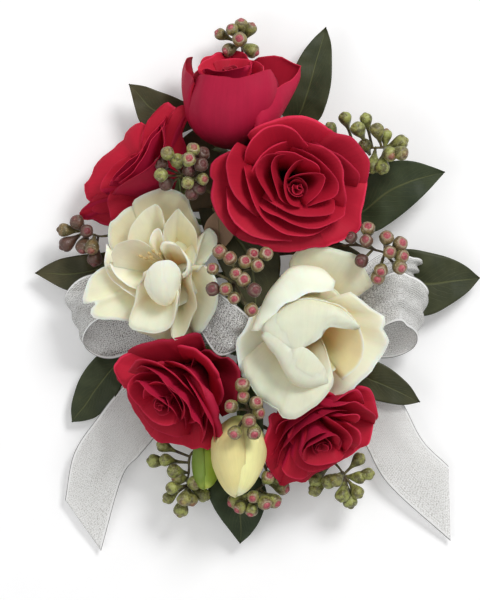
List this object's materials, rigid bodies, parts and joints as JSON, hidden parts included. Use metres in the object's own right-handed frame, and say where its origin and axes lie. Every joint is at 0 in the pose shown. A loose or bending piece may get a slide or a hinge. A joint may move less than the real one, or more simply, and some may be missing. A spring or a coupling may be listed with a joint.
{
  "type": "corsage",
  "caption": "Pin-on corsage of red spray roses, cream freesias, seeded eucalyptus and leaves, wired to a taped spine with a sheer ribbon bow and pearl-headed pins.",
  "frame": {"origin": "on the flat back of the taped stem spine, behind the middle of the corsage", "axes": "+Z out of the corsage's front, the way the blooms look; +Y to its top; +X to the viewer's right"},
  "size_m": [0.1784, 0.214, 0.0545],
  "materials": {
    "rose_petal": "velvety crimson petal, darker in the folds, paler on the rims",
    "rose_heart": "deep crimson rolled petals",
    "freesia_petal": "waxy cream petal with fine veins, tan on some backs",
    "stamen": "pale yellow filaments with brown anthers",
    "bud_cream": "waxy yellow-green cream, closed petals",
    "bud_green": "waxy yellow-green",
    "leaf": "dark green, satin, pale midrib and veins",
    "leaf_tan": "dry tan leaf",
    "calyx": "matt green",
    "seed": "olive green pods with pink caps, satin",
    "ribbon": "sheer silver organza with white selvages",
    "stem_tape": "green florist's tape, matt, wrapped",
    "wire": "dull steel wire",
    "pin_steel": "polished steel",
    "pearl": "white pearl"
  },
  "bodies": {
    "corsage": {"stem_spine": "stem_tape", "rose_centre_heart": "rose_heart", "rose_centre_petals": "rose_petal", "rose_top_heart": "rose_heart", "rose_top_petals": "rose_petal", "rose_lower_left_heart": "rose_heart", "rose_lower_left_petals": "rose_petal", "rose_lower_right_heart": "rose_heart", "rose_lower_right_petals": "rose_petal", "rose_upper_left_heart": "rose_heart", "rose_upper_left_petals": "rose_petal", "freesia_right_stamens": "stamen", "freesia_right_petals": "freesia_petal", "freesia_left_stamens": "stamen", "freesia_left_petals": "freesia_petal", "rose_centre_stem": "calyx", "rose_top_stem": "calyx", "rose_lower_left_stem": "calyx", "rose_lower_right_stem": "calyx", "rose_upper_left_stem": "calyx", "freesia_right_stem": "calyx", "freesia_left_stem": "calyx", "bud_cream": "bud_cream", "bud_green": "bud_green", "sprig_centre": "seed", "sprig_upper_centre": "seed", "sprig_lower_centre": "seed", "sprig_right_upper": "seed", "sprig_right": "seed", "sprig_left": "seed", "sprig_top": "seed", "sprig_bottom_left": "seed", "sprig_bottom": "seed", "sprig_bottom_right": "seed", "bow_wire": "wire", "ribbon_loop_left": "ribbon", "ribbon_loop_right": "ribbon", "ribbon_loop_right_upper": "ribbon", "ribbon_loop_centre": "ribbon", "ribbon_tail_left": "ribbon", "ribbon_tail_right": "ribbon", "leaf_top_right": "leaf", "leaf_top_left": "leaf", "leaf_right_upper": "leaf", "leaf_right": "leaf", "leaf_right_lower": "leaf", "leaf_left_lower": "leaf", "leaf_left": "leaf", "leaf_bottom": "leaf", "leaf_left_upper": "leaf", "leaf_middle": "leaf", "leaf_tan": "leaf_tan", "leaf_olive": "leaf"},
    "pin_upper": {"pin_upper_shank": "pin_steel", "pin_upper_pearl": "pearl"},
    "pin_lower": {"pin_lower_shank": "pin_steel", "pin_lower_pearl": "pearl"}
  },
  "joints": [
    {"name": "pin_upper_slide", "type": "slide", "parent": "corsage", "child": "pin_upper", "axis": [1, 0, 0], "range_m": [0, 0.044]},
    {"name": "pin_lower_slide", "type": "slide", "parent": "corsage", "child": "pin_lower", "axis": [1, 0, 0], "range_m": [0, 0.044]}
  ]
}
